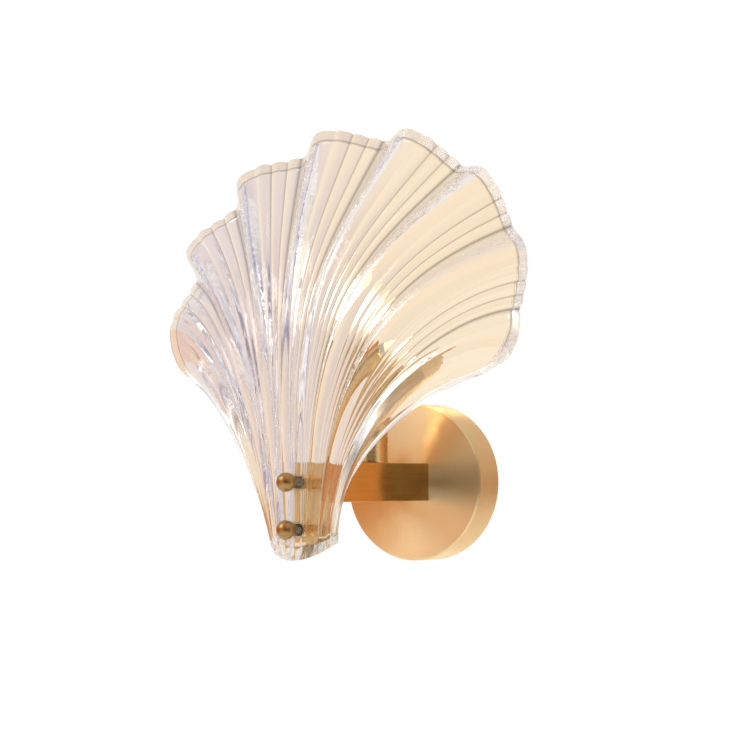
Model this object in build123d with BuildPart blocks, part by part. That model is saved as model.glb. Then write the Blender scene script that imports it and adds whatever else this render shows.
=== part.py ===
from build123d import *
import math
import os

# Wall sconce with a cast glass shell bolted to the front of a square brass arm.
# Millimetres. The origin is the centre of the rose on the wall face, +Z is up, +X is to the
# right of someone facing the wall, and the arm stands out along -Y. Distances called "out"
# are measured from the wall, so Plane.XZ.offset(out) is a plane parallel to the wall.

os.makedirs("parts", exist_ok=True)

# ---- driving sizes: rose and wall bracket ----
rose_radius = 50.0
rose_depth = 23.0
rose_wall = 1.5
rose_edge = 1.0
bracket_width = 22.0
bracket_thickness = 1.5
bracket_bend_radius = 2.5
tab_depth = 14.0
tab_clearance = 0.5
wall_screw_spacing = 60.0
wall_slot_length = 14.0
wall_slot_width = 5.0
supply_hole_radius = 6.0
grub_radius = 2.0
grub_length = 8.0
grub_out = 9.0
grub_socket_across = 2.0
grub_socket_depth = 2.0

# ---- driving sizes: arm ----
arm_width = 24.0
arm_wall = 1.5
arm_edge_radius = 0.6
plug_length = 12.0
plug_clearance = 0.1
nipple_radius = 5.0
nipple_bore = 3.5
arm_nipple_inside = 7.5
nut_across_flats = 14.0
nut_thickness = 3.0
thread_clearance = 0.1

# ---- driving sizes: front plate, studs and glass clamp ----
plate_front_out = 140.0
plate_thickness = 6.0
plate_height = 48.0
plate_edge = 0.5
stud_radius = 2.0
stud_pitch = 28.0
shoulder_radius = 4.0
soft_washer_radius = 5.0
soft_washer_thickness = 0.8
bush_clearance = 0.15
running_clearance = 0.05
ball_radius = 5.75
ball_flat = 5.0
ball_bore_depth = 7.5
stud_tip_gap = 1.0

# ---- driving sizes: lampholder tube and lamp ----
lamp_out = 76.0
tube_radius = 13.0
tube_wall = 1.0
tube_height = 72.0
tube_edge = 0.6
tube_floor = 1.5
tube_rim = 0.4
boss_size = 16.0
boss_thickness = 4.0
holder_nipple_margin = 4.0
strap_thickness = 1.2
strap_width = 13.0
strap_end = 3.5
ceramic_radius = 11.0
ceramic_flat_width = 17.0
ceramic_height = 25.0
ceramic_top_drop = 2.0
ceramic_edge = 0.6
socket_length = 16.4
socket_width = 7.6
socket_depth = 8.0
pin_spacing = 9.0
pin_slot_length = 3.6
pin_slot_width = 2.8
pin_depth = 10.5
strap_screw_radius = 1.5
strap_screw_length = 5.0
strap_screw_head = 2.6
strap_screw_head_height = 0.9
strap_screw_drop = 18.0
contact_thickness = 0.4
contact_width = 3.0
contact_gap = 0.3
contact_height = 9.0
contact_tail_width = 1.2
contact_tail = 3.0
lamp_base_length = 15.0
lamp_base_width = 6.2
lamp_base_height = 9.0
lamp_seat_gap = 0.3
collar_radius = 8.0
collar_height = 5.0
capsule_radius = 7.0
capsule_wall = 1.0
capsule_height = 44.0
capsule_seat = 3.0
pin_thickness = 1.0
pin_loop_width = 2.6
pin_loop_wire = 0.9
pin_length = 8.5
filament_radius = 0.8
filament_length = 8.0
filament_height = 18.0
filament_post_radius = 0.4

# ---- driving sizes: wiring ----
lead_radius = 1.1
lead_sides = 6
screw_sides = 12
lead_offset = 1.6
lead_bend = 6.0
lead_run_in = 4.0
block_width = 20.0
block_height = 12.0
block_depth = 11.0
block_centre = -16.0
block_way_spacing = 6.5
block_bore = 1.4
clamp_screw_radius = 1.4
clamp_screw_height = 0.8
block_screw_radius = 1.2
earth_screw_height = 13.0
earth_screw_radius = 2.0
earth_screw_length = 6.0
earth_screw_head = 3.6
earth_screw_head_height = 2.2
earth_ring_radius = 3.8
earth_ring_thickness = 0.8
earth_bend = 3.0

# ---- driving sizes: glass shell ----
glass_thickness = 7.5
rim_half_width = 128.0
rim_half_height = 106.0
rim_centre_height = 110.5
rim_half_sweep = 117.0
rim_out = 86.5
rim_side_forward = 23.5
rim_lean = 1.0
stem_half_width = 24.0
stem_half_sweep = 50.0
stem_bottom = -47.0
stem_out = 155.4
stem_side_setback = 14.0
stem_side_lean = 0.8
lower_pole_out = 162.0
lower_pole_lean = 8.4
lower_pole_rise = 0.61
lower_pole_rise_loss = 0.11
lower_pole_side_lean = 0.5
upper_pole_out = 150.4
upper_pole_setback = 38.5
upper_pole_lean = 109.0
upper_pole_rise = 0.37
upper_pole_rise_loss = 0.28
upper_pole_out_lean = 0.35
flute_pitch = 0.249
flute_phase = 0.067
flute_wall = 0.18
flute_band = 0.46
flute_fall = 1.73
foot_wall = 0.12
foot_band = 0.75
flute_steps = (0.9, 1.8, 3.2, 6.5)
reed_heights = (0.0, 0.8, 1.5, 1.7)
reeds_per_flute = 3
left_flutes = 4
right_flutes = 3
first_edge_drop = 0.9
glass_hole_radius = 3.25
glass_seat_radius = 5.3
glass_seat_front_out = 155.8
glass_seat_back_out = 149.6

# ---- places that follow from the sizes ----
arm_half = arm_width / 2
plate_back_out = plate_front_out - plate_thickness
plate_centre_height = arm_half - plate_height / 2
stud_heights = {"upper": 0.0, "lower": -stud_pitch}
rose_inner_radius = rose_radius - rose_wall
rose_inner_out = rose_depth - rose_wall
tab_reach = math.sqrt(rose_inner_radius**2 - (bracket_width / 2) ** 2) - tab_clearance
nipple_start_out = rose_inner_out - arm_nipple_inside
nipple_end_out = rose_depth + plug_length
tube_bottom = arm_half
tube_top = tube_bottom + tube_height
tube_floor_top = tube_bottom + tube_floor
boss_top = arm_half - arm_wall
boss_bottom = boss_top - boss_thickness
holder_nipple_top = tube_floor_top + strap_thickness + nut_thickness + holder_nipple_margin
ceramic_top = tube_top - ceramic_top_drop
ceramic_bottom = ceramic_top - ceramic_height
socket_floor = ceramic_top - socket_depth
contact_bottom = socket_floor - pin_depth
strap_screw_height = ceramic_top - strap_screw_drop
strap_height = strap_screw_height + strap_end - tube_floor_top
lamp_base_bottom = socket_floor + lamp_seat_gap
collar_bottom = lamp_base_bottom + lamp_base_height
collar_top = collar_bottom + collar_height
capsule_bottom = collar_top - capsule_seat
filament_centre = collar_top + filament_height
ball_face_out = glass_seat_front_out + soft_washer_thickness
ball_centre_out = ball_face_out + ball_flat
ball_flat_radius = math.sqrt(ball_radius**2 - ball_flat**2)
stud_tip_out = ball_face_out + ball_bore_depth - stud_tip_gap
shoulder_front_out = glass_seat_back_out - soft_washer_thickness
block_front_out = bracket_thickness + block_depth
block_mid_out = bracket_thickness + block_depth / 2
block_top = block_centre + block_height / 2


def facing_out(out, height=0.0):
    """A plane parallel to the wall at a distance out from it; its normal points out."""
    return Plane(origin=(0, -out, height), x_dir=(1, 0, 0), z_dir=(0, -1, 0))


def over_lamp(height):
    """A level plane on the lampholder's axis; its normal points up."""
    return Plane(origin=(0, -lamp_out, height), x_dir=(1, 0, 0), z_dir=(0, 0, 1))


def rod(radius, length, plane, bore=0.0):
    """A round bar or, with a bore, a ring or tube, that starts on the plane."""
    with BuildPart() as bar:
        with BuildSketch(plane):
            Circle(radius)
            if bore:
                Circle(bore, mode=Mode.SUBTRACT)
        extrude(amount=length)
    return bar.part


def hexagon_nut(plane):
    """A plain hexagon nut for the hollow nipples, with its first face on the plane."""
    with BuildPart() as nut:
        with BuildSketch(plane):
            RegularPolygon(nut_across_flats / 2, 6, major_radius=False)
            Circle(nipple_radius, mode=Mode.SUBTRACT)
        extrude(amount=nut_thickness)
    return nut.part


def small_screw(radius, length, head_radius, head_height, plane):
    """A many-sided screw whose head seats on the plane, with its shank against the normal."""
    with BuildPart() as screw:
        with BuildSketch(plane):
            RegularPolygon(head_radius, screw_sides)
        extrude(amount=head_height)
        with BuildSketch(plane):
            RegularPolygon(radius, screw_sides)
        extrude(amount=-length)
    return screw.part


def lead_along(route, bend):
    """An insulated lead, many-sided and nearly round, along straight runs joined by arcs."""
    start = Vector(*route[0])
    with BuildPart() as lead:
        with BuildLine() as path:
            FilletPolyline(*route, radius=bend)
        with BuildSketch(Plane(origin=start, z_dir=Vector(*route[1]) - start)):
            RegularPolygon(lead_radius, lead_sides)
        sweep(path=path.line)
    return lead.part


def save(piece, name):
    """Labels a finished piece and writes it under its name."""
    piece.label = name
    export_step(piece, f"parts/{name}.step")


# ---- wall bracket: a steel strip with two slots and bent, tapped end tabs ----
with BuildPart() as wall_bracket:
    with BuildSketch(Plane.YZ):
        with BuildLine():
            FilletPolyline(
                (bracket_thickness / 2 - tab_depth, bracket_thickness / 2 - tab_reach),
                (-bracket_thickness / 2, bracket_thickness / 2 - tab_reach),
                (-bracket_thickness / 2, tab_reach - bracket_thickness / 2),
                (bracket_thickness / 2 - tab_depth, tab_reach - bracket_thickness / 2),
                radius=bracket_bend_radius,
            )
            offset(amount=bracket_thickness / 2, side=Side.BOTH, kind=Kind.TANGENT)
        make_face()
    extrude(amount=bracket_width / 2, both=True)
    with BuildSketch(facing_out(0)):
        with GridLocations(0, wall_screw_spacing, 1, 2):
            SlotOverall(wall_slot_length, wall_slot_width, rotation=90)
        Circle(supply_hole_radius)
        with Locations((block_way_spacing, earth_screw_height)):
            Circle(earth_screw_radius)
        with Locations((block_way_spacing / 2, block_centre)):
            Circle(block_screw_radius)
    extrude(amount=bracket_thickness, mode=Mode.SUBTRACT)
    with BuildSketch(Plane.XY):
        with Locations((0, -grub_out)):
            Circle(grub_radius)
    extrude(amount=rose_radius, both=True, mode=Mode.SUBTRACT)
save(wall_bracket.part, "wall_bracket")

# ---- rose: a spun brass cup, closed at the front, with a hole for the arm's nipple ----
with BuildPart() as rose:
    with BuildSketch(facing_out(0)):
        Circle(rose_radius)
    extrude(amount=rose_depth)
    chamfer(rose.edges().group_by(Axis.Y)[0], rose_edge)
    with BuildSketch(facing_out(0)):
        Circle(rose_inner_radius)
    extrude(amount=rose_inner_out, mode=Mode.SUBTRACT)
    with BuildSketch(facing_out(rose_inner_out)):
        Circle(nipple_radius + thread_clearance)
    extrude(amount=rose_wall, mode=Mode.SUBTRACT)
    with BuildSketch(Plane.XY):
        with Locations((0, -grub_out)):
            Circle(grub_radius + thread_clearance)
    extrude(amount=rose_radius, both=True, mode=Mode.SUBTRACT)
save(rose.part, "rose")

# ---- two grub screws through the rose's wall into the bracket's tabs ----
for side, sign in (("top", 1), ("bottom", -1)):
    grub_plane = Plane(origin=(0, -grub_out, sign * rose_radius), x_dir=(1, 0, 0), z_dir=(0, 0, -sign))
    with BuildPart() as grub_screw:
        with BuildSketch(grub_plane):
            RegularPolygon(grub_radius, screw_sides)
        extrude(amount=grub_length)
        with BuildSketch(grub_plane):
            RegularPolygon(grub_socket_across / 2, 6, major_radius=False)
        extrude(amount=grub_socket_depth, mode=Mode.SUBTRACT)
    save(grub_screw.part, f"rose_grub_screw_{side}")

# ---- hollow nipple and nut that hold the arm on the rose ----
arm_nipple = rod(nipple_radius, nipple_end_out - nipple_start_out, facing_out(nipple_start_out), nipple_bore)
save(arm_nipple, "arm_nipple")

save(hexagon_nut(facing_out(rose_inner_out - nut_thickness)), "arm_nut")

# ---- arm: square brass tube from the rose to the front plate ----
with BuildPart() as arm_tube:
    with BuildSketch(facing_out(rose_depth)):
        RectangleRounded(arm_width, arm_width, arm_edge_radius)
        Rectangle(arm_width - 2 * arm_wall, arm_width - 2 * arm_wall, mode=Mode.SUBTRACT)
    extrude(amount=plate_back_out - rose_depth)
    with BuildSketch(over_lamp(boss_top)):
        Circle(nipple_radius + thread_clearance)
    extrude(amount=arm_wall, mode=Mode.SUBTRACT)
save(arm_tube.part, "arm_tube")

# ---- square plugs in the arm's ends, tapped for the nipple and the upper stud ----
plugs = {
    "arm_rear_plug": (rose_depth, nipple_radius),
    "arm_front_plug": (plate_back_out - plug_length, stud_radius),
}
for plug_name, (plug_out, plug_bore) in plugs.items():
    with BuildPart() as arm_plug:
        with BuildSketch(facing_out(plug_out)):
            Rectangle(arm_width - 2 * (arm_wall + plug_clearance), arm_width - 2 * (arm_wall + plug_clearance))
            Circle(plug_bore, mode=Mode.SUBTRACT)
        extrude(amount=plug_length)
    save(arm_plug.part, plug_name)

# ---- front plate: as wide as the arm, its top level with the arm, tapped for both studs ----
with BuildPart() as front_plate:
    with BuildSketch(facing_out(plate_back_out, plate_centre_height)):
        Rectangle(arm_width, plate_height)
    extrude(amount=plate_thickness)
    chamfer(front_plate.edges().group_by(Axis.Y)[0], plate_edge)
    with BuildSketch(facing_out(plate_back_out)):
        with Locations(*[(0, height) for height in stud_heights.values()]):
            Circle(stud_radius)
    extrude(amount=plate_thickness, mode=Mode.SUBTRACT)
save(front_plate.part, "front_plate")

# ---- clamp stack at each stud: shouldered stud, soft bush, soft washer and ball nut ----
stud_starts = {"upper": plate_back_out - plug_length, "lower": plate_back_out}
for level, height in stud_heights.items():
    shoulder_length = shoulder_front_out - plate_front_out
    with BuildPart() as stud:
        with BuildSketch(facing_out(stud_starts[level], height)):
            Circle(stud_radius)
        extrude(amount=stud_tip_out - stud_starts[level])
        with BuildSketch(facing_out(plate_front_out, height)):
            Circle(shoulder_radius)
        extrude(amount=shoulder_length)
    save(stud.part, f"{level}_stud")

    # A soft top-hat bush: its brim lies behind the glass and its sleeve lines the hole.
    with BuildPart() as bush:
        with BuildSketch(facing_out(shoulder_front_out, height)):
            Circle(soft_washer_radius)
        extrude(amount=soft_washer_thickness)
        with BuildSketch(facing_out(glass_seat_back_out, height)):
            Circle(glass_hole_radius - bush_clearance)
        extrude(amount=glass_seat_front_out - glass_seat_back_out)
        with BuildSketch(facing_out(shoulder_front_out, height)):
            Circle(stud_radius)
        extrude(amount=glass_seat_front_out - shoulder_front_out, mode=Mode.SUBTRACT)
    save(bush.part, f"{level}_bush")

    front_plane = facing_out(glass_seat_front_out, height)
    front_bore = stud_radius + running_clearance
    save(rod(soft_washer_radius, soft_washer_thickness, front_plane, front_bore), f"{level}_front_washer")

    # A ball with a flat where it meets the washer and a blind bore for the stud.
    ball_centre = (0, -ball_centre_out, height)
    with BuildPart() as ball_nut:
        with BuildSketch(Plane(origin=ball_centre, x_dir=(0, 1, 0), z_dir=(1, 0, 0))):
            with BuildLine():
                Polyline((-ball_radius, 0), (ball_flat, 0), (ball_flat, ball_flat_radius))
                ThreePointArc((ball_flat, ball_flat_radius), (0, ball_radius), (-ball_radius, 0))
            make_face()
        revolve(axis=Axis(ball_centre, (0, 1, 0)))
        with BuildSketch(facing_out(ball_face_out, height)):
            Circle(stud_radius + running_clearance)
        extrude(amount=ball_bore_depth, mode=Mode.SUBTRACT)
    save(ball_nut.part, f"{level}_ball_nut")

# ---- lampholder tube: a brass cup that stands on the arm ----
with BuildPart() as lampholder_tube:
    with BuildSketch(over_lamp(tube_bottom)):
        Circle(tube_radius)
    extrude(amount=tube_height)
    chamfer(lampholder_tube.edges().group_by(Axis.Z)[0], tube_edge)
    chamfer(lampholder_tube.edges().group_by(Axis.Z)[-1], tube_rim)
    with BuildSketch(over_lamp(tube_floor_top)):
        Circle(tube_radius - tube_wall)
    extrude(amount=tube_height, mode=Mode.SUBTRACT)
    with BuildSketch(over_lamp(tube_bottom)):
        Circle(nipple_radius + thread_clearance)
    extrude(amount=tube_floor, mode=Mode.SUBTRACT)
save(lampholder_tube.part, "lampholder_tube")

# ---- tapped boss inside the arm, hollow nipple and the nut that clamps tube and strap ----
with BuildPart() as lampholder_boss:
    with BuildSketch(over_lamp(boss_bottom)):
        Rectangle(boss_size, boss_size)
        Circle(nipple_radius, mode=Mode.SUBTRACT)
    extrude(amount=boss_thickness)
save(lampholder_boss.part, "lampholder_boss")

holder_nipple = rod(nipple_radius, holder_nipple_top - boss_bottom, over_lamp(boss_bottom), nipple_bore)
save(holder_nipple, "lampholder_nipple")

save(hexagon_nut(over_lamp(tube_floor_top + strap_thickness)), "tube_nut")

# ---- U-shaped strap on the tube's floor that holds the ceramic by its two flats ----
strap_half = ceramic_flat_width / 2 + strap_thickness
with BuildPart() as holder_strap:
    with BuildSketch(Plane(origin=(0, -lamp_out, tube_floor_top), x_dir=(0, 1, 0), z_dir=(1, 0, 0))):
        with Locations((0, strap_height / 2)):
            Rectangle(2 * strap_half, strap_height)
        with Locations((0, strap_thickness + strap_height / 2)):
            Rectangle(ceramic_flat_width, strap_height, mode=Mode.SUBTRACT)
    extrude(amount=strap_width / 2, both=True)
    with BuildSketch(over_lamp(tube_floor_top)):
        Circle(nipple_radius)
    extrude(amount=strap_thickness, mode=Mode.SUBTRACT)
    with BuildSketch(facing_out(0, strap_screw_height)):
        Circle(strap_screw_radius)
    extrude(amount=lamp_out + tube_radius, mode=Mode.SUBTRACT)
save(holder_strap.part, "holder_strap")

# ---- ceramic lampholder with a socket and two slots right through for pins and leads ----
pin_places = [(-pin_spacing / 2, 0), (pin_spacing / 2, 0)]
with BuildPart() as ceramic_holder:
    with BuildSketch(over_lamp(ceramic_bottom)):
        Circle(ceramic_radius)
        Rectangle(2 * ceramic_radius, ceramic_flat_width, mode=Mode.INTERSECT)
    extrude(amount=ceramic_top - ceramic_bottom)
    chamfer(ceramic_holder.edges().group_by(Axis.Z)[-1], ceramic_edge)
    with BuildSketch(over_lamp(ceramic_top)):
        Rectangle(socket_length, socket_width)
    extrude(amount=-socket_depth, mode=Mode.SUBTRACT)
    with BuildSketch(over_lamp(socket_floor)):
        with Locations(*pin_places):
            Rectangle(pin_slot_length, pin_slot_width)
    extrude(amount=ceramic_bottom - socket_floor, mode=Mode.SUBTRACT)
    for sign in (1, -1):
        screw_plane = Plane(
            origin=(0, sign * ceramic_flat_width / 2 - lamp_out, strap_screw_height), z_dir=(0, sign, 0)
        )
        with BuildSketch(screw_plane):
            Circle(strap_screw_radius)
        extrude(amount=-strap_screw_length, mode=Mode.SUBTRACT)
save(ceramic_holder.part, "ceramic_holder")

for side, sign in (("rear", 1), ("front", -1)):
    head_plane = Plane(origin=(0, sign * strap_half - lamp_out, strap_screw_height), z_dir=(0, sign, 0))
    strap_screw = small_screw(
        strap_screw_radius, strap_screw_length, strap_screw_head, strap_screw_head_height, head_plane
    )
    save(strap_screw, f"strap_screw_{side}")

# ---- spring contacts beside the pins, with tails that reach down to the leads ----
for side, (pin_x, pin_y) in zip(("left", "right"), pin_places):
    leaf_y = pin_thickness / 2 + contact_gap + contact_thickness / 2
    with BuildPart() as contact:
        with BuildSketch(over_lamp(contact_bottom)):
            with Locations((pin_x, leaf_y)):
                Rectangle(contact_width, contact_thickness)
        extrude(amount=contact_height)
        with BuildSketch(over_lamp(contact_bottom)):
            with Locations((pin_x, leaf_y)):
                Rectangle(contact_tail_width, contact_thickness)
        extrude(amount=-contact_tail)
    save(contact.part, f"contact_{side}")

# ---- plug-in lamp: ceramic base with a collar, pin loops, glass capsule and filament ----
with BuildPart() as lamp_base:
    with BuildSketch(over_lamp(lamp_base_bottom)):
        Rectangle(lamp_base_length, lamp_base_width)
    extrude(amount=lamp_base_height)
    with BuildSketch(over_lamp(collar_bottom)):
        Circle(collar_radius)
    extrude(amount=collar_height)
    with BuildSketch(over_lamp(capsule_bottom)):
        Circle(capsule_radius)
    extrude(amount=capsule_seat, mode=Mode.SUBTRACT)
save(lamp_base.part, "lamp_base")

for side, (pin_x, pin_y) in zip(("left", "right"), pin_places):
    loop_plane = Plane(
        origin=(pin_x, -lamp_out, lamp_base_bottom - pin_length / 2), x_dir=(1, 0, 0), z_dir=(0, -1, 0)
    )
    with BuildPart() as lamp_pin:
        with BuildSketch(loop_plane):
            SlotOverall(pin_length, pin_loop_width, rotation=90)
            with Locations((0, pin_loop_width / 4)):
                Rectangle(pin_loop_width, pin_length - pin_loop_width / 2)
            with Locations((0, pin_loop_width / 2)):
                Rectangle(pin_loop_width - 2 * pin_loop_wire, pin_length, mode=Mode.SUBTRACT)
        extrude(amount=pin_thickness / 2, both=True)
    save(lamp_pin.part, f"lamp_pin_{side}")

capsule_straight = capsule_height - capsule_radius
with BuildPart() as lamp_capsule:
    with BuildSketch(Plane(origin=(0, -lamp_out, capsule_bottom), x_dir=(1, 0, 0), z_dir=(0, -1, 0))):
        inner_radius = capsule_radius - capsule_wall
        with BuildLine():
            outline = Polyline(
                (0, capsule_height),
                (0, capsule_straight + inner_radius),
                (inner_radius, capsule_straight),
                (inner_radius, 0),
                (capsule_radius, 0),
                (capsule_radius, capsule_straight),
            )
            JernArc(outline @ 1, (0, 1), capsule_radius, 90)
        make_face()
    revolve(axis=Axis((0, -lamp_out, 0), (0, 0, 1)))
save(lamp_capsule.part, "lamp_capsule")

with BuildPart() as lamp_filament:
    with BuildSketch(Plane(origin=(0, -lamp_out, filament_centre), z_dir=(1, 0, 0))):
        RegularPolygon(filament_radius, screw_sides)
    extrude(amount=filament_length / 2, both=True)
    with BuildSketch(over_lamp(capsule_bottom)):
        with Locations((-filament_length / 2 + filament_radius, 0), (filament_length / 2 - filament_radius, 0)):
            RegularPolygon(filament_post_radius, lead_sides)
    extrude(amount=filament_centre - capsule_bottom)
save(lamp_filament.part, "lamp_filament")

# ---- terminal block on the bracket, with three lead ways and their clamp screws ----
way_places = {"live": -block_way_spacing, "neutral": 0.0, "earth": block_way_spacing}
with BuildPart() as terminal_block:
    with BuildSketch(facing_out(bracket_thickness, block_centre)):
        Rectangle(block_width, block_height)
    extrude(amount=block_depth)
    with BuildSketch(Plane.XY.offset(block_top)):
        with Locations(*[(way_x, -block_mid_out) for way_x in way_places.values()]):
            Circle(block_bore)
    extrude(amount=-block_height, mode=Mode.SUBTRACT)
    with BuildSketch(facing_out(bracket_thickness, block_centre)):
        with Locations((block_way_spacing / 2, 0)):
            Circle(block_screw_radius)
    extrude(amount=block_depth, mode=Mode.SUBTRACT)
save(terminal_block.part, "terminal_block")

with BuildPart() as clamp_screws:
    with BuildSketch(facing_out(block_front_out, block_centre)):
        with Locations(*[(way_x, 0) for way_x in way_places.values()]):
            RegularPolygon(clamp_screw_radius, screw_sides)
    extrude(amount=clamp_screw_height)
save(clamp_screws.part, "terminal_clamp_screws")

with BuildPart() as block_screw:
    with BuildSketch(facing_out(0, block_centre)):
        with Locations((block_way_spacing / 2, 0)):
            RegularPolygon(block_screw_radius, screw_sides)
    extrude(amount=block_front_out)
save(block_screw.part, "terminal_block_screw")

# ---- earth screw and its ring on the bracket ----
ring_plane = Plane(
    origin=(way_places["earth"], -bracket_thickness, earth_screw_height), x_dir=(1, 0, 0), z_dir=(0, -1, 0)
)
save(rod(earth_ring_radius, earth_ring_thickness, ring_plane, earth_screw_radius), "earth_ring")
earth_screw = small_screw(
    earth_screw_radius,
    earth_screw_length,
    earth_screw_head,
    earth_screw_head_height,
    ring_plane.offset(earth_ring_thickness),
)
save(earth_screw, "earth_screw")

# ---- leads: from the block through both hollow nipples to the ceramic, and the earth lead ----
lead_start = block_top - lead_run_in
for lead_name, sign in (("live", -1), ("neutral", 1)):
    way_x = way_places[lead_name]
    near_x = sign * lead_offset
    pin_x = sign * pin_spacing / 2
    lead_route = [
        (way_x, -block_mid_out, lead_start),
        (way_x, -block_mid_out, block_top + lead_run_in / 2),
        (near_x, -nipple_start_out, 0),
        (near_x, -lamp_out, 0),
        (near_x, -lamp_out, holder_nipple_top + lead_radius),
        (pin_x, -lamp_out, ceramic_bottom - lead_radius),
        (pin_x, -lamp_out, contact_bottom - contact_tail - contact_gap),
    ]
    bends = [lead_bend / 2, lead_bend / 2, lead_bend, lead_bend, lead_bend]
    save(lead_along(lead_route, bends), f"{lead_name}_lead")

earth_x = way_places["earth"]
earth_out = bracket_thickness + lead_radius + running_clearance
earth_route = [
    (earth_x, -block_mid_out, lead_start),
    (earth_x, -block_mid_out, 0),
    (earth_x, -earth_out, block_mid_out - earth_out),
    (earth_x, -earth_out, earth_screw_height - earth_ring_radius - running_clearance),
]
save(lead_along(earth_route, earth_bend), "earth_lead")


# ---- glass shell ----
# Each rib is a cubic Bezier from the foot of the stem to the rim. Its fan position runs from
# -1 at the left edge to +1 at the right edge. The rim is an ellipse parallel to the wall with
# its sides brought forward, the foot is a shallow arc, and the two middle poles set how upright
# a rib leaves the stem and how far it turns out as it reaches the rim. Towards the foot a flute's
# wide band takes more of its width, and its reeds and its notch less.
def plain_rib(fan):
    """Poles of the plain shell's outer face at a fan position, and its normal at each pole."""
    turn = math.radians(rim_half_sweep) * fan
    rim = Vector(
        rim_half_width * math.sin(turn),
        -(rim_out + rim_side_forward * fan**2),
        rim_centre_height + rim_half_height * math.cos(turn),
    )
    foot_radius = stem_half_width / math.sin(math.radians(stem_half_sweep))
    foot_turn = math.radians(stem_half_sweep) * fan
    foot = Vector(
        foot_radius * math.sin(foot_turn),
        -(stem_out - stem_side_setback * fan**2),
        stem_bottom + foot_radius * (1 - math.cos(foot_turn)),
    )
    reach = math.hypot(rim.X - foot.X, rim.Z - foot.Z)
    rise = reach * (lower_pole_rise - lower_pole_rise_loss * fan**2)
    lean = math.radians(lower_pole_lean) * fan
    lower_pole = Vector(foot.X + rise * math.sin(lean), -lower_pole_out, foot.Z + rise * math.cos(lean))
    rise = reach * (upper_pole_rise - upper_pole_rise_loss * fan**2)
    lean = math.radians(upper_pole_lean) * fan
    upper_pole_back = upper_pole_out - upper_pole_setback * fan**2
    upper_pole = Vector(rim.X - rise * math.sin(lean), -upper_pole_back, rim.Z - rise * math.cos(lean))
    normals = [
        Vector(stem_side_lean * fan, -1, 0).normalized(),
        Vector(lower_pole_side_lean * fan, -1, 0).normalized(),
        Vector(upper_pole_out_lean * math.sin(turn), -1, upper_pole_out_lean * math.cos(turn)).normalized(),
        Vector(rim_lean * math.sin(turn), -1, rim_lean * math.cos(turn)).normalized(),
    ]
    return [foot, lower_pole, upper_pole, rim], normals


def flute_height(share):
    """Height of a flute, from -1 in its notch to 1 on its crest, at a share of its width."""
    if share < flute_wall:
        return -1 + 2 * share / flute_wall
    return 1 - 2 * ((share - flute_wall) / (1 - flute_wall)) ** flute_fall


def pole_fans(flute, share):
    """Fan position at each pole, from foot to rim, of a place at a share of a flute's width."""
    knots = ((0.0, 0.0), (flute_wall, foot_wall), (flute_band, foot_band), (1.0, 1.0))
    for (low, foot_low), (high, foot_high) in zip(knots, knots[1:]):
        if low <= share <= high:
            foot_share = foot_low + (foot_high - foot_low) * (share - low) / (high - low)
    spread = [foot_share + (share - foot_share) * pole / 3 for pole in range(4)]
    return [flute_phase + flute_pitch * (flute + place) for place in spread]


def flute_stations():
    """Fan positions, flute height and reed height of every rib, from left to right."""
    reed_half = (1 - flute_band) / (2 * reeds_per_flute)
    shares = [(0.0, 0), (flute_wall, 0), (flute_band, 0)]
    shares += [(flute_band + step * reed_half, step % 2) for step in range(1, 2 * reeds_per_flute)]
    first_crest = pole_fans(-left_flutes, flute_wall)
    stations = [([-1.0] * 4, 1 - first_edge_drop, 0)]
    stations.append(([(fan - 1) / 2 for fan in first_crest], 1 - first_edge_drop / 4, 0))
    for flute in range(-left_flutes, right_flutes + 1):
        for share, reed in shares:
            started = flute > -left_flutes or share >= flute_wall
            if started and (flute < right_flutes or share <= flute_wall):
                stations.append((pole_fans(flute, share), flute_height(share), reed))
    last_share = (1 - flute_phase) / flute_pitch - right_flutes
    return stations + [([1.0] * 4, flute_height(last_share), 0)]


def rib_curves(fans, height, reed):
    """Front and back Bezier curves of one rib."""
    plain = [plain_rib(fan) for fan in fans]
    poles = [plain[pole][0][pole] for pole in range(4)]
    normals = [plain[pole][1][pole] for pole in range(4)]
    middle = [pole + normal * (height * step) for pole, normal, step in zip(poles, normals, flute_steps)]
    front = [pole + normal * (reed * rise) for pole, normal, rise in zip(middle, normals, reed_heights)]
    back = [pole - normal * glass_thickness for pole, normal in zip(middle, normals)]
    return Edge.make_bezier(*front), Edge.make_bezier(*back)


def shell_faces():
    """Ruled strips from rib to rib on the front, back, rim and foot, and the two side edges."""
    ribs = [rib_curves(*station) for station in flute_stations()]
    faces = [Face.make_surface_from_curves(*ribs[0]), Face.make_surface_from_curves(*ribs[-1])]
    for (front, back), (next_front, next_back) in zip(ribs, ribs[1:]):
        faces.append(Face.make_surface_from_curves(front, next_front))
        faces.append(Face.make_surface_from_curves(back, next_back))
        for end in (0, 1):
            front_edge = Edge.make_line(front @ end, next_front @ end)
            back_edge = Edge.make_line(back @ end, next_back @ end)
            faces.append(Face.make_surface_from_curves(front_edge, back_edge))
    return faces


with BuildPart() as glass_shell:
    add(Solid(Shell(shell_faces())))
    hole_cuts = (
        (glass_hole_radius, plate_front_out, stud_tip_out),
        (glass_seat_radius, plate_front_out, glass_seat_back_out),
        (glass_seat_radius, glass_seat_front_out, stud_tip_out),
    )
    for height in stud_heights.values():
        for cut_radius, cut_start, cut_end in hole_cuts:
            with BuildSketch(facing_out(cut_start, height)):
                Circle(cut_radius)
            extrude(amount=cut_end - cut_start, mode=Mode.SUBTRACT)
save(glass_shell.part, "glass_shell")
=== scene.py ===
"""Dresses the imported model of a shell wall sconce: fluted glass, brushed brass and a lit lamp.

Everything is in metres, in the model's own frame: +X right, +Y into the wall, +Z up, with the
origin at the centre of the rose on the wall. Millimetre sizes are multiplied by MM.
"""
import logging
import math
from dataclasses import dataclass, fields, replace
from enum import Enum

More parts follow.
